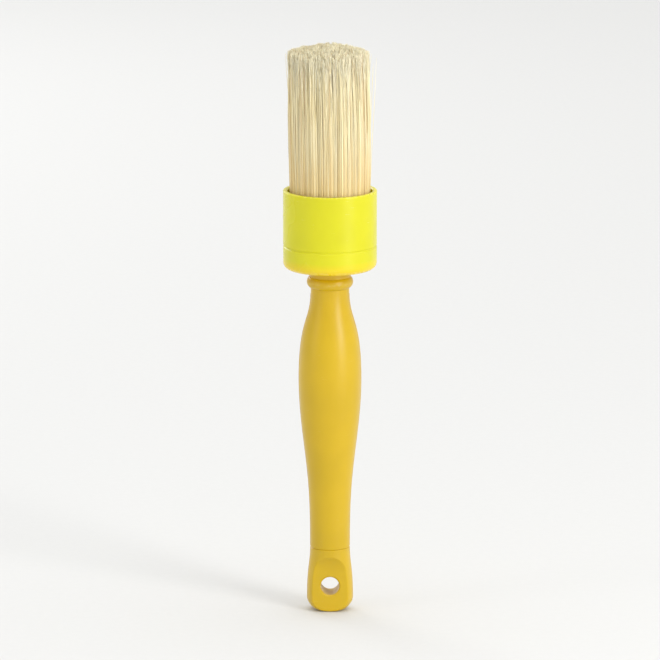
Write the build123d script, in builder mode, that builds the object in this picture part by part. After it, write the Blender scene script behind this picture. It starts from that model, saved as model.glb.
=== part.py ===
"""Round detailing brush with a plastic collar: handle, end plug, collar and a ring of set natural bristle.

Z runs along the brush, from the tail of the handle at 0 to the bristle tips. Millimetres.
"""

from build123d import *

import os

os.makedirs("parts", exist_ok=True)

# Driving dimensions along the brush
joint_height = 28.0  # where the handle meets its end plug
neck_height = 146.6  # where the bead ends and the plain neck starts
collar_base = 150.0  # underside of the collar
collar_height = 34.0
bristle_length = 62.0  # free length above the collar
resin_level = 168.0

# Driving radii
tail_radius = 9.8
joint_radius = 8.4
grip_radius = 13.3
waist_radius = 8.2
bead_radius = 9.9
neck_radius = 8.8
spigot_radius = 7.0
collar_radius = 20.0
boss_radius = 9.4
hang_hole_radius = 4.0

# Walls, gaps and small features
handle_wall = 2.2
collar_wall = 1.9
floor_thickness = 2.6
slip_gap = 0.1  # radial gap between parts that are pushed together
bristle_gap = 0.2  # between the two rings of bristle
wire_radius = 0.35
ridge_height = 0.12  # mould parting line, proud of the surface
ridge_width = 0.4
joint_chamfer = 0.25  # witness groove where the handle meets the end plug

collar_top = collar_base + collar_height
collar_bore = collar_radius - collar_wall
collar_floor = collar_base + floor_thickness
tip_height = collar_top + bristle_length


# --- Handle: a hollow moulding with neck, bead and spigot ---

grip_top = 139.0
bead_foot = 141.6
bead_middle = 144.2
spigot_length = 12.0
spigot_top = collar_base + spigot_length
spigot_chamfer = 1.0
snap_height = collar_base + 8.0  # middle of the snap bead that locks the spigot in the collar
snap_half_width = 1.1
snap_depth = 0.35
grip_foot = joint_height + joint_chamfer
# The grip swells slowly from the joint to its widest, then falls faster to the waist: radius, height
grip_swell = [(9.4, 58.0), (12.7, 88.0), (grip_radius, 104.0), (11.0, 125.0)]
grip_points = [(joint_radius, grip_foot), *grip_swell, (waist_radius, grip_top)]
cavity_foot = (joint_radius - handle_wall - slip_gap, joint_height + 15.0)
cavity_neck = (waist_radius - 3.0, grip_top - 1.0)
cavity_points = [cavity_foot, *[(r - handle_wall, z) for r, z in grip_swell], cavity_neck]
cavity_top = collar_base + 8.0

with BuildPart() as handle:
    with BuildSketch(Plane.XZ):
        with BuildLine():
            grip = Spline(*grip_points, tangents=[(0, 1), (0, 1)])
            waist = Line(grip @ 1, (waist_radius, bead_foot))
            bead = ThreePointArc(waist @ 1, (bead_radius, bead_middle), (neck_radius, neck_height))
            neck = Polyline(bead @ 1, (neck_radius, collar_base), (spigot_radius, collar_base))
            foot = Line(neck @ 1, (spigot_radius, snap_height - snap_half_width))
            snap = ThreePointArc(
                foot @ 1,
                (spigot_radius + snap_depth, snap_height),
                (spigot_radius, snap_height + snap_half_width),
            )
            Polyline(
                snap @ 1,
                (spigot_radius, spigot_top - spigot_chamfer),
                (spigot_radius - spigot_chamfer, spigot_top),
                (0, spigot_top),
                (0, joint_height),
                (joint_radius - joint_chamfer, joint_height),
                grip @ 0,
            )
        make_face()
    revolve(axis=Axis.Z)
    # The mould parting line, a fine ridge down both sides of the grip
    with BuildSketch(Plane.XZ):
        with BuildLine():
            ridge = Spline(*[(r + ridge_height, z) for r, z in grip_points], tangents=[(0, 1), (0, 1)])
            Polyline(ridge @ 1, (0, grip_top), (0, grip_foot), ridge @ 0)
        make_face()
        mirror(about=Plane.YZ)
    extrude(amount=ridge_width / 2, both=True)
    with BuildSketch(Plane.XZ):
        with BuildLine():
            cavity = Spline(*cavity_points, tangents=[(0, 1), (0, 1)])
            Polyline(
                cavity @ 1,
                (cavity_neck[0], cavity_top),
                (0, cavity_top),
                (0, joint_height),
                (cavity_foot[0], joint_height),
                cavity @ 0,
            )
        make_face()
    revolve(axis=Axis.Z, mode=Mode.SUBTRACT)


# --- End plug: closes the handle and carries the hanging eye ---

tail_flat_radius = 5.0
tail_widest = 6.0  # height of the widest point, where the round end meets the side
tail_side = (9.3, 17.0)  # a point on the side, where it draws in to the joint: radius, height
eye_height = 11.5
eye_half_thickness = 6.0
eye_flat_top = 16.6
eye_run_out = 11.0  # length over which the flats fade into the round
eye_run_out_bend = (0.9, 5.5)  # a point on the fade: outwards and up from the flat's top
eye_chamfer = 0.5
eye_edge_fillet = 0.8
past_surface = 2.0  # how far a cutting shape stands clear of what it cuts
plug_spigot_radius = cavity_foot[0] - slip_gap
plug_spigot_length = 14.0
plug_spigot_chamfer = 0.8
gate_radius = 1.2
gate_depth = 0.4


def tail_outline(extra):
    """Outline of half the tail, grown by extra and closed along the axis."""
    side_radius, side_height = tail_side
    round_end = TangentArc((tail_radius + extra, tail_widest), (tail_flat_radius, 0), tangent=(0, -1))
    side = Spline(
        round_end @ 0,
        (side_radius + extra, side_height),
        (joint_radius + extra, joint_height - joint_chamfer),
        tangents=[(0, 1), (0, 1)],
    )
    shoulder = Line(side @ 1, (joint_radius - joint_chamfer, joint_height))
    Polyline(shoulder @ 1, (0, joint_height), (0, 0), round_end @ 1)


with BuildPart() as end_plug:
    with BuildSketch(Plane.XZ):
        with BuildLine():
            tail_outline(0)
        make_face()
    revolve(axis=Axis.Z)
    # Two flats that thin the tail around the hole and run out in a curve
    with BuildSketch(Plane.YZ):
        with BuildLine():
            flat = Line((eye_half_thickness, -past_surface), (eye_half_thickness, eye_flat_top))
            run_out = ThreePointArc(
                flat @ 1,
                (eye_half_thickness + eye_run_out_bend[0], eye_flat_top + eye_run_out_bend[1]),
                (tail_radius + past_surface, eye_flat_top + eye_run_out),
            )
            Polyline(run_out @ 1, (tail_radius + past_surface, -past_surface), flat @ 0)
        make_face()
        mirror(about=Plane.YZ)
    extrude(amount=tail_radius + past_surface, both=True, mode=Mode.SUBTRACT)
    flat_faces = end_plug.faces().filter_by(Axis.Y)
    fillet(flat_faces.edges().filter_by(GeomType.LINE, reverse=True), radius=eye_edge_fillet)
    # The mould parting line goes on down both sides of the plug
    with BuildSketch(Plane.XZ):
        with BuildLine():
            tail_outline(ridge_height)
        make_face()
        mirror(about=Plane.YZ)
    extrude(amount=ridge_width / 2, both=True)
    eye_front = Plane(origin=(0, -eye_half_thickness, eye_height), z_dir=(0, -1, 0))
    eye_back = Plane(origin=(0, eye_half_thickness, eye_height), z_dir=(0, 1, 0))
    with Locations(eye_front, eye_back):
        CounterSinkHole(hang_hole_radius, hang_hole_radius + eye_chamfer, counter_sink_angle=90)
    with BuildSketch(Plane.XY.offset(joint_height)):
        Circle(plug_spigot_radius)
    extrude(amount=plug_spigot_length)
    chamfer(end_plug.edges().group_by(Axis.Z)[-1], length=plug_spigot_chamfer)
    with BuildSketch(Plane.XY):
        Circle(gate_radius)
    extrude(amount=gate_depth, mode=Mode.SUBTRACT)


# --- Collar: the cup that holds the bristles, with a blind socket for the spigot ---

socket_radius = spigot_radius + slip_gap
socket_top = spigot_top + 0.3
boss_top = socket_top + 1.7
rib_overlap = 0.3  # how far a floor rib runs into the wall and into the boss
base_fillet = 3.0
inner_fillet = 2.0
groove_bottom = collar_base + 9.6
groove_depth = 0.3
groove_width = 1.0
lip = 0.5
key_rib_height = 2.8
key_rib_width = 1.6
key_rib_count = 6

with BuildPart() as collar:
    with BuildSketch(Plane.XZ):
        with BuildLine():
            under = Line((socket_radius, collar_base), (collar_radius - base_fillet, collar_base))
            turn = RadiusArc(under @ 1, (collar_radius, collar_base + base_fillet), -base_fillet)
            wall = Polyline(
                turn @ 1,
                (collar_radius, groove_bottom),
                (collar_radius - groove_depth, groove_bottom + groove_depth),
                (collar_radius - groove_depth, groove_bottom + groove_width - groove_depth),
                (collar_radius, groove_bottom + groove_width),
                (collar_radius, collar_top - lip),
            )
            rim = RadiusArc(wall @ 1, (collar_radius - lip, collar_top), -lip)
            mouth = Polyline(
                rim @ 1,
                (collar_bore + lip, collar_top),
                (collar_bore, collar_top - lip),
                (collar_bore, collar_floor + inner_fillet),
            )
            corner = RadiusArc(mouth @ 1, (collar_bore - inner_fillet, collar_floor), inner_fillet)
            boss = Polyline(
                corner @ 1,
                (boss_radius, collar_floor),
                (boss_radius, boss_top),
                (0, boss_top),
                (0, socket_top),
                (socket_radius, socket_top),
                (socket_radius, snap_height + snap_half_width),
            )
            catch = ThreePointArc(
                boss @ 1,
                (socket_radius + snap_depth, snap_height),
                (socket_radius, snap_height - snap_half_width),
            )
            Line(catch @ 1, under @ 0)
        make_face()
    revolve(axis=Axis.Z)
    # Low ribs on the floor that key into the resin
    with BuildSketch(Plane.XY.offset(collar_floor)):
        with PolarLocations((boss_radius + collar_bore) / 2, key_rib_count):
            Rectangle(collar_bore - boss_radius + 2 * rib_overlap, key_rib_width)
    extrude(amount=key_rib_height)


# --- Core plug: fills the middle of the ring of bristle ---

core_radius = 9.3
core_shoulder = 181.0
core_top = 190.0
core_nose = (7.4, 186.8)  # a point on the domed nose: radius, height
core_groove_height = 166.0
core_groove_depth = 0.8

with BuildPart() as core_plug:
    with BuildSketch(Plane.XZ):
        with BuildLine():
            side = Polyline(
                (core_radius, boss_top),
                (core_radius, core_groove_height - core_groove_depth),
                (core_radius - core_groove_depth, core_groove_height),
                (core_radius, core_groove_height + core_groove_depth),
                (core_radius, core_shoulder),
            )
            nose = Spline(side @ 1, core_nose, (0, core_top), tangents=[(0, 1), (-1, 0)])
            Polyline(nose @ 1, (0, boss_top), side @ 0)
        make_face()
    revolve(axis=Axis.Z)


# --- Bristles: two packed rings, set in the resin and closing over the core plug ---

root_clearance = 0.6  # from the floor ribs to the ends of the roots
root_height = collar_floor + key_rib_height + root_clearance
ring_inner = 9.8
ring_split = 13.5
ring_outer = 17.2
tip_inner = 1.0
tip_split = 10.0
tip_outer = 17.9
tip_drop = 3.0  # how much lower the outermost tips are than the middle of the dome
split_height = tip_height - tip_drop * (tip_split / tip_outer) ** 2
lock_count = 16  # clumps that the outer ring falls into
lock_groove_side = 2.0  # the groove is one corner of a square of this side

with BuildPart() as bristles_outer:
    with BuildSketch(Plane.XZ):
        with BuildLine():
            Polyline(
                (tip_split + bristle_gap / 2, split_height),
                (ring_split + bristle_gap / 2, collar_top),
                (ring_split + bristle_gap / 2, root_height),
                (ring_outer, root_height),
                (ring_outer, collar_top),
                (tip_outer, tip_height - tip_drop),
                close=True,
            )
        make_face()
    revolve(axis=Axis.Z)
    # A shallow groove between neighbouring clumps, from the mouth of the collar up
    with BuildSketch(Plane.XY.offset(collar_top)):
        with PolarLocations(tip_outer, lock_count):
            Rectangle(lock_groove_side, lock_groove_side, rotation=45)
    extrude(amount=bristle_length, mode=Mode.SUBTRACT)

with BuildPart() as bristles_inner:
    with BuildSketch(Plane.XZ):
        with BuildLine():
            Polyline(
                (tip_inner, tip_height),
                (ring_inner, collar_top),
                (ring_inner, root_height),
                (ring_split - bristle_gap / 2, root_height),
                (ring_split - bristle_gap / 2, collar_top),
                (tip_split - bristle_gap / 2, split_height),
                close=True,
            )
        make_face()
    revolve(axis=Axis.Z)


# --- Root binding: wire around the bundle of bristle, between the resin and the mouth of the collar ---

wire_pitch = 2 * wire_radius + slip_gap
wire_turns = 3
wire_centre = (ring_outer + collar_bore) / 2
wire_base = resin_level + 3.0

with BuildPart() as root_binding:
    with BuildLine() as wire_path:
        Helix(pitch=wire_pitch, height=wire_pitch * wire_turns, radius=wire_centre, center=(0, 0, wire_base))
    with BuildSketch(Plane(wire_path.line @ 0, z_dir=wire_path.line % 0)):
        Circle(wire_radius)
    sweep(path=wire_path.line)


# --- Setting resin: poured around the roots, the boss and the foot of the core plug ---

with BuildPart() as setting_resin:
    with BuildSketch(Plane.XY.offset(collar_floor)):
        Circle(collar_bore)
    extrude(amount=resin_level - collar_floor)
    with BuildSketch(Plane.XY.offset(collar_floor)):
        Circle(boss_radius)
    extrude(amount=boss_top - collar_floor, mode=Mode.SUBTRACT)
    add(collar.part, mode=Mode.SUBTRACT)
    add(core_plug.part, mode=Mode.SUBTRACT)
    add(bristles_outer.part, mode=Mode.SUBTRACT)
    add(bristles_inner.part, mode=Mode.SUBTRACT)


nodes = {
    "handle": handle,
    "end_plug": end_plug,
    "collar": collar,
    "core_plug": core_plug,
    "bristles_outer": bristles_outer,
    "bristles_inner": bristles_inner,
    "root_binding": root_binding,
    "setting_resin": setting_resin,
}
for name, piece in nodes.items():
    piece.part.label = name
    export_step(piece.part, f"parts/{name}.step")
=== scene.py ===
import math

import bpy
import numpy as np
from bpy.props import FloatProperty, FloatVectorProperty, IntProperty, PointerProperty
from bpy.types import Operator, Panel, PropertyGroup
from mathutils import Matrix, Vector


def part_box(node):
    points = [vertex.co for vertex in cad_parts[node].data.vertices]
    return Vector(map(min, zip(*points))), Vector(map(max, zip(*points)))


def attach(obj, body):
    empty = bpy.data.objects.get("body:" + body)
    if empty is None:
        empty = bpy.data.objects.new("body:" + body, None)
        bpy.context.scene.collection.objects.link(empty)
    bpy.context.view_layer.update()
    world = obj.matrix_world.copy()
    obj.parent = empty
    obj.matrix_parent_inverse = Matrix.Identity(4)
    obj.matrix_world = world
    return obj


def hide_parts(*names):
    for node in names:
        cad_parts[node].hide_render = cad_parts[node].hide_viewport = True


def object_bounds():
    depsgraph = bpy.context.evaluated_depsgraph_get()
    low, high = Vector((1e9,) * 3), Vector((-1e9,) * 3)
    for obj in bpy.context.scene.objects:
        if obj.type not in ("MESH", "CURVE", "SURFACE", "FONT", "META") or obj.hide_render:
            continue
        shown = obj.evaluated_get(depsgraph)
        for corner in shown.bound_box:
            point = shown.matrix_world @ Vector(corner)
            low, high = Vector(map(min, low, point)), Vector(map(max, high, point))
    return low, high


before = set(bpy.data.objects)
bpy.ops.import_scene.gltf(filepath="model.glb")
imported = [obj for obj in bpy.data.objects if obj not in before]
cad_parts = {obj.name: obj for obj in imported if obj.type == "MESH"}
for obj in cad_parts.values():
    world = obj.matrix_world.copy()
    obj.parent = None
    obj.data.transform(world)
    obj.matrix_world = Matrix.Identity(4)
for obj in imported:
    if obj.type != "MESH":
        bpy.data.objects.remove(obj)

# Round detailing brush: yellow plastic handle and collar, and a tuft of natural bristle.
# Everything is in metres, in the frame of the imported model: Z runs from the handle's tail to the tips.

bl_info = {
    "name": "Round Detailing Brush",
    "version": (1, 0, 0),
    "blender": (4, 5, 0),
    "location": "View3D > Sidebar > Brush",
    "description": "Bristle, moulded plastic and a plain stage around the packed brush",
    "category": "Object",
}

MM = 0.001
BODY = "root"

CAD_LOW, CAD_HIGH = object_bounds()
COLLAR_LOW, COLLAR_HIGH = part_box("collar")
COLLAR_BASE = COLLAR_LOW.z  # also the top of the handle's neck
MOUTH = COLLAR_HIGH.z
BEAD = COLLAR_BASE - 5.8 * MM  # middle of the bead around the neck
RESIN_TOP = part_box("setting_resin")[1].z
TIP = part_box("bristles_inner")[1].z
TUFT_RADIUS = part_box("bristles_outer")[1].x

HAIR_MAP = "OFBake"  # the UV map of a hair piece: across is the hair's own shade, up is root to tip
SHADES = 64  # columns of the hair map, each a slightly different hair


# --- Settings ---


def length(name, description, default_mm):
    """A length property in metres, with its default given in millimetres."""
    return FloatProperty(
        name=name, description=description, default=default_mm * MM, min=0.0, unit="LENGTH", precision=5
    )


def share(name, description, default):
    """A property between nought and one."""
    return FloatProperty(
        name=name, description=description, default=default, min=0.0, max=1.0, subtype="FACTOR"
    )


def light_strength(name, description, default):
    """The strength of a light that shines on everything."""
    return FloatProperty(name=name, description=description, default=default, min=0)


def lamp_power(name, description, default):
    """The power of a lamp, in watts."""
    return FloatProperty(name=name, description=description, default=default, unit="POWER")


def colour(name, description, default):
    """A colour property, in linear light."""
    return FloatVectorProperty(
        name=name, description=description, default=default, min=0.0, max=1.0, size=3, subtype="COLOR"
    )


class BristleSettings(PropertyGroup):
    """Sizes and colours of the natural bristle."""

    hairs: IntProperty(name="Hairs", description="Hairs in the whole tuft", default=16000, min=100)
    root_inner: length("Root ring, inner radius", "Inner radius of the set ring of bristle", 9.9)
    root_outer: length("Root ring, outer radius", "Outer radius of the set ring of bristle", 17.1)
    root_depth: length("Root depth", "How far the roots stand in the resin", 6.0)
    split_radius: length("Ring split", "Root radius that parts the outer ring from the inner one", 13.5)
    hair_width: length("Hair width", "Width of a hair at its root", 0.30)
    tip_width: length("Tip width", "Width of a hair near its tip", 0.22)
    strand_width: length("Flag width", "Width of a split strand at the tip", 0.16)
    wave: length("Wave", "How far a hair wanders from its line", 0.55)
    bulge: length("Bulge", "How far the tuft swells half way up", 0.55)
    tip_scatter: length("Tip scatter", "Spread of the hairs' lengths", 0.7)
    lean: length("Lean", "How far the tips lean to the left", 0.8)
    tip_drop: length("Dome", "How much lower the outermost tips are than the middle", 3.0)
    waist: length("Tip draw-in", "How far the outermost tips are drawn in", 0.8)
    flag_spread: length("Flag spread", "How far the split strands part", 0.85)
    flagged: share("Flagged", "Share of the hairs with split tips", 0.75)
    stray: share("Stray", "Share of the hairs that stand away from the tuft", 0.012)
    lock_pull: share("Lock pull", "How strongly the hairs gather into the locks of the ring", 0.6)
    clump_pull: share("Clump pull", "How strongly neighbouring tips gather", 0.34)
    locks: IntProperty(name="Locks", description="Locks around the tuft", default=16, min=3)
    clumps: IntProperty(name="Clumps", description="Small clumps of neighbouring tips", default=330, min=10)
    seed: IntProperty(name="Seed", description="Seed of the hairs' variation", default=7)
    root_colour: colour("Root colour", "Colour of the bristle at the collar", (0.96, 0.77, 0.39))
    middle_colour: colour("Middle colour", "Colour of the bristle half way up", (0.99, 0.88, 0.56))
    tip_colour: colour("Tip colour", "Colour of the flagged tips", (1.0, 0.95, 0.74))
    dark_colour: colour("Dark hair", "Tint of the odd darker hair", (0.66, 0.48, 0.30))


class PlasticSettings(PropertyGroup):
    """Colours and surface of the moulded plastic."""

    collar_colour: colour("Collar colour", "Yellow of the collar", (0.71, 0.675, 0.003))
    foot_colour: colour("Collar foot", "Deeper yellow where the collar's floor is thick", (0.86, 0.63, 0.010))
    handle_colour: colour("Handle colour", "Yellow of the handle and its end plug", (0.64, 0.42, 0.004))
    core_colour: colour("Core colour", "Grey of the core plug", (0.42, 0.42, 0.40))
    collar_roughness: share("Collar roughness", "Roughness of the polished collar", 0.24)
    handle_roughness: share("Handle roughness", "Roughness of the satin handle", 0.34)
    grain: length("Grain", "Size of the moulded grain", 0.35)
    scuff: share("Scuffs", "Strength of the fine scuffs", 0.35)


class InsideSettings(PropertyGroup):
    """Colours of the parts inside the collar."""

    resin_colour: colour("Resin colour", "Amber of the setting resin", (0.42, 0.17, 0.03))
    wire_colour: colour("Wire colour", "Zinc grey of the binding wire", (0.56, 0.57, 0.58))


class StageSettings(PropertyGroup):
    """Floor, light and camera."""

    floor_colour: colour("Floor colour", "Colour of the floor", (0.66, 0.66, 0.65))
    room_light: light_strength("Room light", "Strength of the light from above", 0.68)
    horizon_light: light_strength("Horizon", "Strength of the light at the horizon", 0.75)
    sky_light: light_strength("Sky light", "Strength of the wide light above", 1.4)
    key_power: lamp_power("Key light", "Power of the main upright light", 12.0)
    fill_power: lamp_power("Fill light", "Power of the weak upright light", 2.0)
    rim_power: lamp_power("Rim light", "Power of the light behind", 6.0)
    camera_distance: FloatProperty(
        name="Camera distance", description="From the middle of the brush", default=2.4, unit="LENGTH"
    )
    camera_elevation: FloatProperty(
        name="Camera elevation", description="Above the horizon", default=math.radians(12), subtype="ANGLE"
    )
    frame_height: FloatProperty(
        name="Frame", description="Height that the picture covers", default=0.282, unit="LENGTH"
    )


# --- Nodes and materials ---


class Tree:
    """The nodes of a material or of the world, made one by one and linked by name."""

    def __init__(self, owner, shader="Principled BSDF"):
        owner.use_nodes = True
        self.owner = owner
        self.nodes = owner.node_tree.nodes
        self.links = owner.node_tree.links
        self.shader = self.nodes[shader]

    @classmethod
    def of_material(cls, name):
        """The nodes of a new material."""
        return cls(bpy.data.materials.new(name))

    def add(self, kind, inputs=None, **settings):
        """A node of this kind. An input is a value, or another node's output."""
        node = self.nodes.new("ShaderNode" + kind)
        for key, value in settings.items():
            setattr(node, key, value)
        for key, value in (inputs or {}).items():
            self.put(node, key, value)
        return node

    def put(self, node, key, value):
        """Links another node's output to this input, or sets the input to a plain value."""
        if isinstance(value, bpy.types.NodeSocket):
            self.links.new(value, node.inputs[key])
        else:
            node.inputs[key].default_value = value

    def surface(self, **inputs):
        """Sets the shader's own sockets; underscores in a name stand for spaces."""
        for key, value in inputs.items():
            self.put(self.shader, key.replace("_", " "), value)

    def place(self, stretch=(1, 1, 1)):
        """Object coordinates in metres, stretched."""
        inputs = {"Vector": self.add("TexCoord").outputs["Object"], "Scale": stretch}
        return self.add("Mapping", inputs).outputs["Vector"]

    def noise(self, vector, scale, detail=3.0, roughness=0.5):
        """Soft noise between nought and one. The scale is in features to a unit of the vector."""
        inputs = {"Vector": vector, "Scale": scale, "Detail": detail, "Roughness": roughness}
        return self.add("TexNoise", inputs).outputs["Fac"]

    def chance(self, number):
        """A fixed random value between nought and one for this number."""
        return self.add("TexWhiteNoise", {"W": number}, noise_dimensions="1D").outputs["Value"]

    def remap(self, value, low, high, to_low, to_high):
        """Moves a value from the range low to high to the range to_low to to_high, and holds it inside."""
        inputs = {"Value": value, "From Min": low, "From Max": high, "To Min": to_low, "To Max": to_high}
        return self.add("MapRange", inputs).outputs["Result"]

    def maths(self, operation, first, second=0.0):
        """A sum on one or two values."""
        return self.add("Math", {0: first, 1: second}, operation=operation).outputs["Value"]

    def mix(self, factor, first, second, blend="MIX"):
        """Mixes two colours."""
        node = self.add("Mix", data_type="RGBA", blend_type=blend)
        for key, value in (("Factor_Float", factor), ("A_Color", first), ("B_Color", second)):
            socket = next(s for s in node.inputs if s.identifier == key)
            if isinstance(value, bpy.types.NodeSocket):
                self.links.new(value, socket)
            else:
                socket.default_value = value
        return next(s for s in node.outputs if s.identifier == "Result_Color")

    def bump(self, height, distance, strength=1.0):
        """A normal that follows this height."""
        inputs = {"Height": height, "Distance": distance, "Strength": strength}
        return self.add("Bump", inputs).outputs["Normal"]


def rgba(values, gain=1.0):
    """A colour with alpha, made lighter or darker by the gain."""
    return tuple(min(1.0, v * gain) for v in values) + (1.0,)


# Moulded plastic. Scales are in features to the metre, and to a stretched unit for the scratches.
CLOUD_SCALE = 45.0
CLOUD_GAINS = (0.95, 1.03)  # brightness of the darkest and the lightest clouds
CLOUD_GLOSS = (-0.04, 0.05)  # how far the clouds change the roughness
WAVE_SCALE = 120.0
RUB_SCALE = 700.0
SCRATCH_SCALE = 2.2
SCRATCH_STRETCH = (90.0, 90.0, 900.0)  # scratches are short along the brush and long round it
SCRATCH_BAND = (0.66, 0.72)  # where the noise turns into a scratch
WORN_FULL = 0.1 * MM  # distance from an edge where the wear is at its strongest
WORN_END = 0.7 * MM  # distance from an edge where the wear ends
CHALKY = (0.95, 0.93, 0.62, 1.0)  # what worn plastic fades towards
FADE = 0.3
MARK_ROUGHNESS = 0.35  # added where the plastic is scratched or worn
MARK_DEPTH = 0.25  # depth of a mark, as a share of the relief
GRAIN_SHARE = 0.15  # height of the grain, as a share of the slow waviness
RELIEF = 0.05 * MM


def moulded_plastic(name, base, roughness, settings, edges, foot=None):
    """Polypropylene: slight clouding, moulded grain, fine scuffs, and a little wear at the heights in edges.

    The foot, if there is one, is a colour and the heights between which it fades into the base colour.
    """
    tree = Tree.of_material(name)
    place = tree.place()
    clouds = tree.noise(place, CLOUD_SCALE, 2.0)
    dark, light = (rgba(base, gain) for gain in CLOUD_GAINS)
    tone = tree.mix(tree.remap(clouds, 0.35, 0.65, 0.0, 1.0), dark, light)
    height = tree.add("SeparateXYZ", {"Vector": place}).outputs["Z"]
    if foot:
        foot_colour, full, faded_out = foot
        tone = tree.mix(tree.remap(height, full, faded_out, 1.0, 0.0), tone, rgba(foot_colour))
    # Scuffs: fine scratches that run round the part
    scratch_field = tree.noise(tree.place(SCRATCH_STRETCH), SCRATCH_SCALE, 4.0, 0.7)
    scratches = tree.remap(scratch_field, *SCRATCH_BAND, 0.0, settings.scuff)
    worn = 0.0
    for edge in edges:
        distance = tree.maths("ABSOLUTE", tree.maths("SUBTRACT", height, edge))
        near = tree.remap(distance, WORN_FULL, WORN_END, 1.0, 0.0)
        worn = tree.maths("MAXIMUM", near, worn)
    rub = tree.maths("MULTIPLY", worn, tree.remap(tree.noise(place, RUB_SCALE), 0.38, 0.72, 0.0, 0.4))
    marks = tree.maths("MAXIMUM", scratches, rub)
    faded = tree.mix(FADE, tone, CHALKY)
    cloudy = tree.remap(clouds, 0.3, 0.7, roughness + CLOUD_GLOSS[0], roughness + CLOUD_GLOSS[1])
    tree.surface(
        Base_Color=tree.mix(marks, tone, faded),
        Roughness=tree.maths("ADD", cloudy, tree.maths("MULTIPLY", marks, MARK_ROUGHNESS)),
        IOR=1.49,
        Subsurface_Weight=0.12,
        Subsurface_Radius=(1.0, 0.75, 0.2),
        Subsurface_Scale=1.6 * MM,
    )
    grain = tree.noise(place, 1.0 / settings.grain, 2.0)
    waviness = tree.noise(place, WAVE_SCALE, 1.0)
    relief = tree.maths("ADD", tree.maths("MULTIPLY", grain, GRAIN_SHARE), waviness)
    relief = tree.maths("SUBTRACT", relief, tree.maths("MULTIPLY", marks, MARK_DEPTH))
    tree.surface(Normal=tree.bump(relief, RELIEF, 0.6))
    return tree.owner


# Bristle. The range of shades is split in two: the most are blond, and the last few are dark.
DARKEST_BLOND = 0.84  # brightness of the darkest blond shade
DARK_BAND = (0.93, 0.95)  # share of the shades where the dark ones begin
DARK_TINT = 0.75  # how strongly a dark shade is tinted
SHIFT = 0.12  # how much earlier or later than the rest a hair changes colour, as a share of its length


def bristle_material(settings):
    """Hog bristle: amber at the root, blond, then cream at the flagged tip; each hair has its own shade."""
    tree = Tree.of_material("natural_bristle")
    across_up = tree.add("SeparateXYZ", {"Vector": tree.add("UVMap", uv_map=HAIR_MAP).outputs["UV"]})
    column = tree.maths("FLOOR", tree.maths("MULTIPLY", across_up.outputs["X"], SHADES))
    own, other = (tree.chance(tree.maths("ADD", column, shift)) for shift in (0.5, 100.5))
    # The change from amber to cream comes earlier on some hairs than on others
    up = tree.maths("ADD", across_up.outputs["Y"], tree.remap(other, 0.0, 1.0, -SHIFT, SHIFT))
    ramp = tree.add("ValToRGB", {"Fac": up})
    stops = [
        (0.0, settings.root_colour),
        (0.30, settings.root_colour),
        (0.52, settings.middle_colour),
        (0.80, settings.middle_colour),
        (0.97, settings.tip_colour),
    ]
    while len(ramp.color_ramp.elements) < len(stops):
        ramp.color_ramp.elements.new(0.5)
    for element, (position, stop) in zip(ramp.color_ramp.elements, stops):
        element.position = position
        element.color = rgba(stop)
    bright = tree.remap(own, 0.0, 1.0, DARKEST_BLOND, 1.0)
    lit = tree.add("CombineXYZ", {"X": bright, "Y": bright, "Z": bright}).outputs["Vector"]
    shaded = tree.mix(1.0, ramp.outputs["Color"], lit, "MULTIPLY")
    dark = tree.remap(other, *DARK_BAND, 0.0, DARK_TINT)
    tree.surface(
        Base_Color=tree.mix(dark, shaded, rgba(settings.dark_colour), "MULTIPLY"),
        Roughness=0.42,
        IOR=1.5,
    )
    return tree.owner


# Resin and wire
RESIN_CLOUD_SCALE = 180.0
BUBBLE_SCALE = 900.0
SPANGLE_SCALE = 1500.0


def resin_material(settings):
    """Cast amber resin, with clouds and small bubbles."""
    tree = Tree.of_material("amber_resin")
    place = tree.place()
    clouds = tree.noise(place, RESIN_CLOUD_SCALE)
    bubbles = tree.add("TexVoronoi", {"Vector": place, "Scale": BUBBLE_SCALE}).outputs["Distance"]
    pits = tree.remap(bubbles, 0.0, 0.25, 1.0, 0.0)
    tree.surface(
        Base_Color=tree.mix(clouds, rgba(settings.resin_colour, 0.7), rgba(settings.resin_colour, 1.4)),
        Roughness=tree.remap(clouds, 0.3, 0.7, 0.12, 0.28),
        IOR=1.55,
        Normal=tree.bump(pits, 0.08 * MM, -0.5),
    )
    return tree.owner


def wire_material(settings):
    """Galvanised wire, dulled and spangled."""
    tree = Tree.of_material("galvanised_wire")
    spangle = tree.noise(tree.place(), SPANGLE_SCALE, 4.0)
    tree.surface(
        Base_Color=tree.mix(spangle, rgba(settings.wire_colour, 0.75), rgba(settings.wire_colour, 1.2)),
        Metallic=1.0,
        Roughness=tree.remap(spangle, 0.3, 0.7, 0.3, 0.5),
        Normal=tree.bump(spangle, 0.01 * MM, 0.5),
    )
    return tree.owner


def coat(node, material):
    """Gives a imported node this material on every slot."""
    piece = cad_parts[node]
    if not piece.material_slots:
        piece.data.materials.append(material)
    for slot in piece.material_slots:
        slot.material = material


# --- Hair ---


HAIR_STEPS = np.array([0.0, 0.2, 0.42, 0.64, 0.84, 1.0])  # rings of a hair above the mouth
FLAG_STEP = 4  # the ring where a flagged hair splits
MOUTH_UP = 0.3  # place of the collar's mouth on a hair, from 0 at the root to 1 at the tip
TUBE_SIDES = 3

# Each hair's rings crowd to one end by a power of its own, so that the forks stand at different heights
STEP_POWERS = (0.6, 1.7)
# How late along a hair each bend sets in: a power of the distance from the mouth
CLOSE_POWER = 1.3
WAVE_POWER = 1.4
LEAN_POWER = 1.5
STRAY_POWER = 1.6
CLUMP_POWER = 1.7

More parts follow.
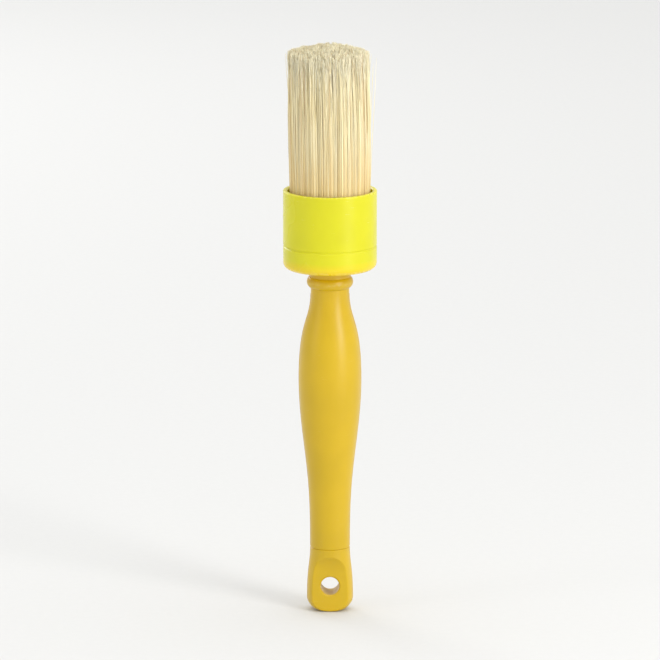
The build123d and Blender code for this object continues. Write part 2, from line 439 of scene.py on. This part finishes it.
LOCK_SKEW = 1.3  # how uneven the locks' widths are, in radians of the locks' own cycle
LOCK_SINK = 0.9 * MM  # how deep the joints between locks sink in
LOCK_HEIGHT = 0.35 * MM  # how far the locks' tops differ
CLUMP_HEIGHT = 0.4 * MM  # how far the clumps' tops differ
STRAY_SPREAD = 1.6 * MM  # how far the tips of stray hairs wander
STRAY_REACH = 2.2 * MM  # the most that they wander each way
STRAY_OUT = 0.9 * MM  # how far they stand out all together
STRAY_SHORT = 5.0 * MM  # the most that a stray hair is shorter


def polar(radius, angle):
    """Points in the plane across the brush."""
    return np.stack([radius * np.cos(angle), radius * np.sin(angle)], axis=-1)


def gather_locks(settings, radius, angle, steps, edge):
    """Draws the hairs to the middle of their lock, and sinks the joints between locks in a little."""
    lock_phase = settings.locks * angle[:, None] + LOCK_SKEW * np.sin(3 * angle[:, None])
    gather = settings.lock_pull * (0.35 + 0.65 * steps) * edge
    turned = angle[:, None] - gather * np.sin(lock_phase) / settings.locks
    sink = 0.5 - 0.5 * np.cos(lock_phase)
    radius = radius - LOCK_SINK * sink * edge**3 * (0.4 + 0.6 * steps)
    return polar(radius, turned), lock_phase


def wave_hairs(settings, rng, across, steps):
    """Gives every hair a slow wander of its own."""
    count = len(across)
    sway = settings.wave * np.abs(rng.normal(0.0, 1.0, count))[:, None] * steps**WAVE_POWER
    pace = rng.uniform(0.5, 1.3, count)[:, None]
    start = rng.uniform(0.0, math.tau, count)[:, None]
    heading = rng.uniform(0.0, math.tau, count)[:, None]
    return across + polar(sway * np.sin(math.tau * pace * steps + start), heading)


def clump_hairs(settings, rng, across, steps):
    """Leans each hair to the leading hair that is nearest at the tips, and says which one that is."""
    count = len(across)
    leaders = rng.choice(count, settings.clumps, replace=False)
    gap = np.linalg.norm(across[:, None, -1, :] - across[None, leaders, -1, :], axis=-1)
    led_by = leaders[np.argmin(gap, axis=1)]
    willing = rng.uniform(0.35, 1.0, count)[:, None, None]
    pull = settings.clump_pull * willing * (steps**CLUMP_POWER)[..., None]
    return across + (across[led_by] - across) * pull, led_by


def tip_heights(settings, rng, edge, lock_phase, led_by):
    """Heights of the tips: a low dome, uneven between locks and clumps, with a scatter of its own."""
    count = len(edge)
    lock_height = rng.normal(0.0, LOCK_HEIGHT, settings.locks)
    lock = (np.round(lock_phase[:, 0] / math.tau) % settings.locks).astype(int)
    clump_height = rng.normal(0.0, CLUMP_HEIGHT, count)[led_by]
    dome = TIP - settings.tip_drop * edge[:, 0] ** 2
    top = dome + lock_height[lock] * edge[:, 0] + clump_height
    return top - np.abs(rng.normal(0.0, settings.tip_scatter, count))


def grow_hairs(settings):
    """Centre lines of all hairs, hairs x rings x 3: one ring in the resin, then those in HAIR_STEPS."""
    rng = np.random.default_rng(settings.seed)
    count = settings.hairs
    inner, outer = settings.root_inner, settings.root_outer
    part = rng.uniform(0.0, 1.0, count)
    root = np.sqrt(inner**2 + part * (outer**2 - inner**2))
    angle = rng.uniform(0.0, math.tau, count)
    # The ring closes over the core plug: the innermost hairs lean in until their tips fill the middle
    tip = (TUFT_RADIUS - settings.waist) * np.sqrt(part)
    steps = HAIR_STEPS ** rng.uniform(*STEP_POWERS, count)[:, None]
    edge = (tip / TUFT_RADIUS)[:, None]
    radius = root[:, None] + (tip - root)[:, None] * steps**CLOSE_POWER
    radius = radius + settings.bulge * np.sin(math.pi * steps) * edge**2
    across, lock_phase = gather_locks(settings, radius, angle, steps, edge)
    across = wave_hairs(settings, rng, across, steps)
    across, led_by = clump_hairs(settings, rng, across, steps)
    top = tip_heights(settings, rng, edge, lock_phase, led_by)
    # The whole tuft leans a little, and a few stray hairs stand away from it
    across = across + np.array([-settings.lean, 0.0]) * (steps**LEAN_POWER)[..., None]
    stray = rng.uniform(0.0, 1.0, count) < settings.stray
    wander = np.clip(rng.normal(0.0, STRAY_SPREAD, (count, 2)), -STRAY_REACH, STRAY_REACH)
    wander = wander + polar(STRAY_OUT, angle)
    across = across + (stray[:, None] * wander)[:, None, :] * (steps**STRAY_POWER)[..., None]
    top = top - stray * rng.uniform(0.0, STRAY_SHORT, count)
    height = MOUTH + (top - MOUTH)[:, None] * steps
    lines = np.concatenate([across, height[..., None]], axis=-1)
    # The set part of the hair: straight down from the mouth into the resin
    foot_height = np.full((count, 1), RESIN_TOP - settings.root_depth)
    foot = np.concatenate([polar(root, angle), foot_height], axis=-1)
    lines = np.concatenate([foot[:, None, :], lines], axis=1)
    return {
        "lines": lines,
        "up": np.concatenate([np.zeros((count, 1)), MOUTH_UP + (1.0 - MOUTH_UP) * steps], axis=1),
        "root": root,
        "angle": angle,
        "thickness": rng.uniform(0.78, 1.2, count),
        "shade": rng.integers(0, SHADES, count),
        "flagged": rng.uniform(0.0, 1.0, count) < settings.flagged,
        "roll": rng.uniform(0.0, math.tau, count),
        "spread": settings.flag_spread * rng.uniform(0.5, 1.3, count),
    }


def tubes(lines, widths, rolls, shades, ups):
    """Closed tubes along the lines: corners, triangles and a map place for each corner."""
    count, rings = lines.shape[:2]
    along = np.gradient(lines, axis=1)
    along /= np.linalg.norm(along, axis=-1, keepdims=True)
    side = np.stack([np.cos(rolls), np.sin(rolls), np.zeros(count)], axis=-1)[:, None, :]
    first = np.cross(along, side)
    first /= np.linalg.norm(first, axis=-1, keepdims=True)
    second = np.cross(along, first)
    turn = np.arange(TUBE_SIDES) * math.tau / TUBE_SIDES
    ring = first[..., None, :] * np.cos(turn)[:, None] + second[..., None, :] * np.sin(turn)[:, None]
    corners = lines[..., None, :] + ring * (widths / 2)[..., None, None]
    number = np.arange(count * rings * TUBE_SIDES).reshape(count, rings, TUBE_SIDES)
    ahead = np.roll(number, -1, axis=2)
    low, high = slice(None, -1), slice(1, None)
    walls = [
        np.stack([number[:, low], ahead[:, low], ahead[:, high]], axis=-1),
        np.stack([number[:, low], ahead[:, high], number[:, high]], axis=-1),
    ]
    caps = [number[:, 0, ::-1], number[:, -1, :]]
    triangles = np.concatenate([part.reshape(-1, 3) for part in walls + caps])
    across = (shades[:, None, None] + np.linspace(0.25, 0.75, TUBE_SIDES)) / SHADES
    places = np.stack(np.broadcast_arrays(across, ups[..., None]), axis=-1)
    return corners.reshape(-1, 3), triangles, places.reshape(-1, 2)


STRAND_WIDTHS = np.array([1.4, 1.0, 0.7])  # at the fork, half way and the end, as shares of the strand width
STRAND_BOW = 0.35  # how much of their spread the strands have half way up
STRAND_SHORT = 0.08  # half of the share by which the second strand is shorter


def hair_parts(hairs, chosen, settings):
    """The tubes of the chosen hairs: whole hairs, then the stems and the split strands of flagged ones."""
    lines, roll, shade, ups = hairs["lines"], hairs["roll"], hairs["shade"], hairs["up"]
    taper = 1.0 - (1.0 - settings.tip_width / settings.hair_width) * ups**2
    widths = settings.hair_width * hairs["thickness"][:, None] * taper
    whole = chosen & ~hairs["flagged"]
    parts = [tubes(lines[whole], widths[whole], roll[whole], shade[whole], ups[whole])]
    split = chosen & hairs["flagged"]
    fork_ring = FLAG_STEP + 1  # counted from the ring in the resin
    stem = slice(0, fork_ring + 1)
    parts.append(
        tubes(lines[split][:, stem], widths[split][:, stem], roll[split], shade[split], ups[split][:, stem])
    )
    fork, end = lines[split][:, fork_ring], lines[split][:, -1]
    for way in (1.0, -1.0):
        heading = polar(way * hairs["spread"][split], roll[split])
        apart = np.concatenate([heading, np.zeros((len(heading), 1))], axis=-1)
        short = STRAND_SHORT * (1.0 - way) * (end - fork)
        strand = np.stack([fork, 0.5 * (fork + end) + STRAND_BOW * apart, end + apart - short], axis=1)
        width = STRAND_WIDTHS * settings.strand_width * hairs["thickness"][split][:, None]
        fork_up = ups[split][:, fork_ring]
        strand_up = np.stack([fork_up, 0.5 * (1.0 + fork_up), np.ones(len(fork_up))], axis=1)
        parts.append(tubes(strand, width, roll[split], shade[split], strand_up))
    return parts


def hair_piece(name, parts, material):
    """One mesh object made of these tubes."""
    corners = np.concatenate([p[0] for p in parts])
    starts = np.cumsum([0] + [len(p[0]) for p in parts[:-1]])
    triangles = np.concatenate([p[1] + start for p, start in zip(parts, starts)])
    places = np.concatenate([p[2] for p in parts])
    mesh = bpy.data.meshes.new(name)
    mesh.vertices.add(len(corners))
    mesh.vertices.foreach_set("co", corners.astype(np.float32).ravel())
    mesh.loops.add(triangles.size)
    mesh.loops.foreach_set("vertex_index", triangles.astype(np.int32).ravel())
    mesh.polygons.add(len(triangles))
    mesh.polygons.foreach_set("loop_start", np.arange(0, triangles.size, 3, dtype=np.int32))
    mesh.update(calc_edges=True)
    hair_map = mesh.uv_layers.new(name=HAIR_MAP)
    hair_map.data.foreach_set("uv", places[triangles.ravel()].astype(np.float32).ravel())
    mesh.shade_flat()
    if mesh.validate():
        raise RuntimeError(f"{name} had faulty faces")
    piece = bpy.data.objects.new(name, mesh)
    bpy.context.scene.collection.objects.link(piece)
    piece.data.materials.append(material)
    return piece


def shared_material(name, make, *details):
    """A material that several pieces use, made once."""
    return bpy.data.materials.get(name) or make(*details)


# --- Operators ---


class BRUSH_OT_collar(Operator):
    """Gives the collar its polished yellow plastic"""

    bl_idname = "brush.collar"
    bl_label = "Collar"

    def execute(self, context):
        settings = context.scene.brush_plastic
        edges = [COLLAR_BASE + 1.0 * MM, MOUTH]
        foot = (settings.foot_colour, COLLAR_BASE + 1.5 * MM, COLLAR_BASE + 5.5 * MM)
        material = moulded_plastic(
            "collar_plastic", settings.collar_colour, settings.collar_roughness, settings, edges, foot
        )
        coat("collar", material)
        return {"FINISHED"}


class BRUSH_OT_handle(Operator):
    """Gives the handle and its end plug their satin yellow plastic"""

    bl_idname = "brush.handle"
    bl_label = "Handle and end plug"

    def execute(self, context):
        settings = context.scene.brush_plastic
        edges = [CAD_LOW.z, BEAD]
        material = moulded_plastic(
            "handle_plastic", settings.handle_colour, settings.handle_roughness, settings, edges
        )
        for node in ("handle", "end_plug"):
            coat(node, material)
        return {"FINISHED"}


class BRUSH_OT_inside(Operator):
    """Gives the core plug, resin and binding wire inside the collar their materials"""

    bl_idname = "brush.inside"
    bl_label = "Core, resin and wire"

    def execute(self, context):
        plastic = context.scene.brush_plastic
        inside = context.scene.brush_inside
        coat("core_plug", moulded_plastic("core_plastic", plastic.core_colour, 0.5, plastic, []))
        coat("setting_resin", resin_material(inside))
        coat("root_binding", wire_material(inside))
        return {"FINISHED"}


class BRUSH_OT_outer_bristles(Operator):
    """Grows the outer ring of bristle, in four quarters"""

    bl_idname = "brush.outer_bristles"
    bl_label = "Outer bristles"

    def execute(self, context):
        settings = context.scene.brush_bristle
        hairs = grow_hairs(settings)
        material = shared_material("natural_bristle", bristle_material, settings)
        outer = hairs["root"] >= settings.split_radius
        quarter = np.floor(hairs["angle"] / (math.tau / 4)).astype(int)
        for number, side in enumerate(("right_back", "left_back", "left_front", "right_front")):
            chosen = outer & (quarter == number)
            piece = hair_piece(f"bristles_outer_{side}", hair_parts(hairs, chosen, settings), material)
            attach(piece, BODY)
            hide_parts("bristles_outer")
        return {"FINISHED"}


class BRUSH_OT_inner_bristles(Operator):
    """Grows the inner ring of bristle, in two halves"""

    bl_idname = "brush.inner_bristles"
    bl_label = "Inner bristles"

    def execute(self, context):
        settings = context.scene.brush_bristle
        hairs = grow_hairs(settings)
        material = shared_material("natural_bristle", bristle_material, settings)
        inner = hairs["root"] < settings.split_radius
        half = np.floor(hairs["angle"] / (math.tau / 2)).astype(int)
        for number, side in enumerate(("back", "front")):
            chosen = inner & (half == number)
            piece = hair_piece(f"bristles_inner_{side}", hair_parts(hairs, chosen, settings), material)
            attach(piece, BODY)
            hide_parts("bristles_inner")
        return {"FINISHED"}


# The stage, in metres
FLOOR_REACH = 15.0  # from the brush to each edge of the floor
SKY_PLACE = (0.4, 0.5, 3.0)
SKY_WIDTH = math.radians(70)
KEY_PLACE = (1.0, -0.95, 0.66)
FILL_PLACE = (-1.25, -0.6, 0.66)
UPRIGHT = {"shape": "RECTANGLE", "size": 0.5, "size_y": 1.3}  # the panels of the key and fill lights
RIM_PLACE = (-0.9, 1.5, 0.9)
RIM_SIZE = 0.8
HORIZON_TOP = 0.2  # how steep a direction is, as the sine of its angle, where the horizon's light ends


def soft_light(name, kind, place, power, target, **settings):
    """A soft light of this kind at this place, turned to the target and itself unseen."""
    lamp = bpy.data.lights.new(name, kind)
    lamp.energy = power
    for key, value in settings.items():
        setattr(lamp, key, value)
    holder = bpy.data.objects.new(name, lamp)
    holder.location = place
    holder.rotation_euler = (target - Vector(place)).to_track_quat("-Z", "Y").to_euler()
    holder.visible_camera = False
    bpy.context.scene.collection.objects.link(holder)


class BRUSH_OT_stage(Operator):
    """Makes the floor, the soft light and the camera"""

    bl_idname = "brush.stage"
    bl_label = "Stage"

    def execute(self, context):
        settings = context.scene.brush_stage
        middle = (CAD_LOW + CAD_HIGH) / 2
        tree = Tree.of_material("floor_paper")
        fibre = tree.noise(tree.place(), 300.0, 4.0)
        tree.surface(
            Base_Color=tree.mix(fibre, rgba(settings.floor_colour, 0.98), rgba(settings.floor_colour, 1.02)),
            Roughness=0.85,
        )
        reach = FLOOR_REACH
        corners = [(-reach, -reach, 0), (reach, -reach, 0), (reach, reach, 0), (-reach, reach, 0)]
        mesh = bpy.data.meshes.new("floor")
        mesh.from_pydata(corners, [], [(0, 1, 2, 3)])
        mesh.materials.append(tree.owner)
        floor = bpy.data.objects.new("floor", mesh)
        floor.location.z = CAD_LOW.z
        context.scene.collection.objects.link(floor)
        room = Tree(bpy.data.worlds.new("soft_room"), "Background")
        upward = room.add("SeparateXYZ", {"Vector": room.add("TexCoord").outputs["Generated"]}).outputs["Z"]
        fading = room.remap(upward, 0.0, HORIZON_TOP, settings.horizon_light, settings.room_light)
        room.surface(Color=(1.0, 1.0, 1.0, 1.0), Strength=fading)
        context.scene.world = room.owner
        soft_light("sky_light", "SUN", SKY_PLACE, settings.sky_light, middle, angle=SKY_WIDTH)
        soft_light("key_light", "AREA", KEY_PLACE, settings.key_power, middle, **UPRIGHT)
        soft_light("fill_light", "AREA", FILL_PLACE, settings.fill_power, middle, **UPRIGHT)
        soft_light("rim_light", "AREA", RIM_PLACE, settings.rim_power, middle, size=RIM_SIZE)
        context.scene.view_settings.view_transform = "Standard"
        camera = bpy.data.cameras.new("camera")
        camera.lens = camera.sensor_width * settings.camera_distance / settings.frame_height
        camera.clip_end = 50.0
        holder = bpy.data.objects.new("camera", camera)
        tilt = settings.camera_elevation
        away = Vector((0.0, -math.cos(tilt), math.sin(tilt)))
        holder.location = middle + away * settings.camera_distance
        holder.rotation_euler = (-away).to_track_quat("-Z", "Y").to_euler()
        context.scene.collection.objects.link(holder)
        context.scene.camera = holder
        return {"FINISHED"}


OPERATORS = (
    BRUSH_OT_stage,
    BRUSH_OT_collar,
    BRUSH_OT_handle,
    BRUSH_OT_inside,
    BRUSH_OT_outer_bristles,
    BRUSH_OT_inner_bristles,
)

SETTINGS = {
    "brush_bristle": BristleSettings,
    "brush_plastic": PlasticSettings,
    "brush_inside": InsideSettings,
    "brush_stage": StageSettings,
}


class BRUSH_PT_panel(Panel):
    """Lists the pieces of the brush and their settings"""

    bl_idname = "BRUSH_PT_panel"
    bl_label = "Round Detailing Brush"
    bl_space_type = "VIEW_3D"
    bl_region_type = "UI"
    bl_category = "Brush"

    def draw(self, context):
        for operator in OPERATORS:
            self.layout.operator(operator.bl_idname)
        for name in SETTINGS:
            box = self.layout.box()
            group = getattr(context.scene, name)
            for key in group.bl_rna.properties.keys():
                if key not in ("rna_type", "name"):
                    box.prop(group, key)


def register():
    """Registers the settings, the operators and the panel."""
    for name, group in SETTINGS.items():
        bpy.utils.register_class(group)
        setattr(bpy.types.Scene, name, PointerProperty(type=group))
    for operator in OPERATORS:
        bpy.utils.register_class(operator)
    bpy.utils.register_class(BRUSH_PT_panel)


def unregister():
    """Takes everything off again, in the opposite order."""
    bpy.utils.unregister_class(BRUSH_PT_panel)
    for operator in reversed(OPERATORS):
        bpy.utils.unregister_class(operator)
    for name, group in reversed(SETTINGS.items()):
        delattr(bpy.types.Scene, name)
        bpy.utils.unregister_class(group)


def main():
    """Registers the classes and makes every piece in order."""
    register()
    bpy.ops.brush.stage()
    bpy.ops.brush.collar()
    bpy.ops.brush.handle()
    bpy.ops.brush.inside()
    bpy.ops.brush.outer_bristles()
    bpy.ops.brush.inner_bristles()


if __name__ == "__main__":
    main()
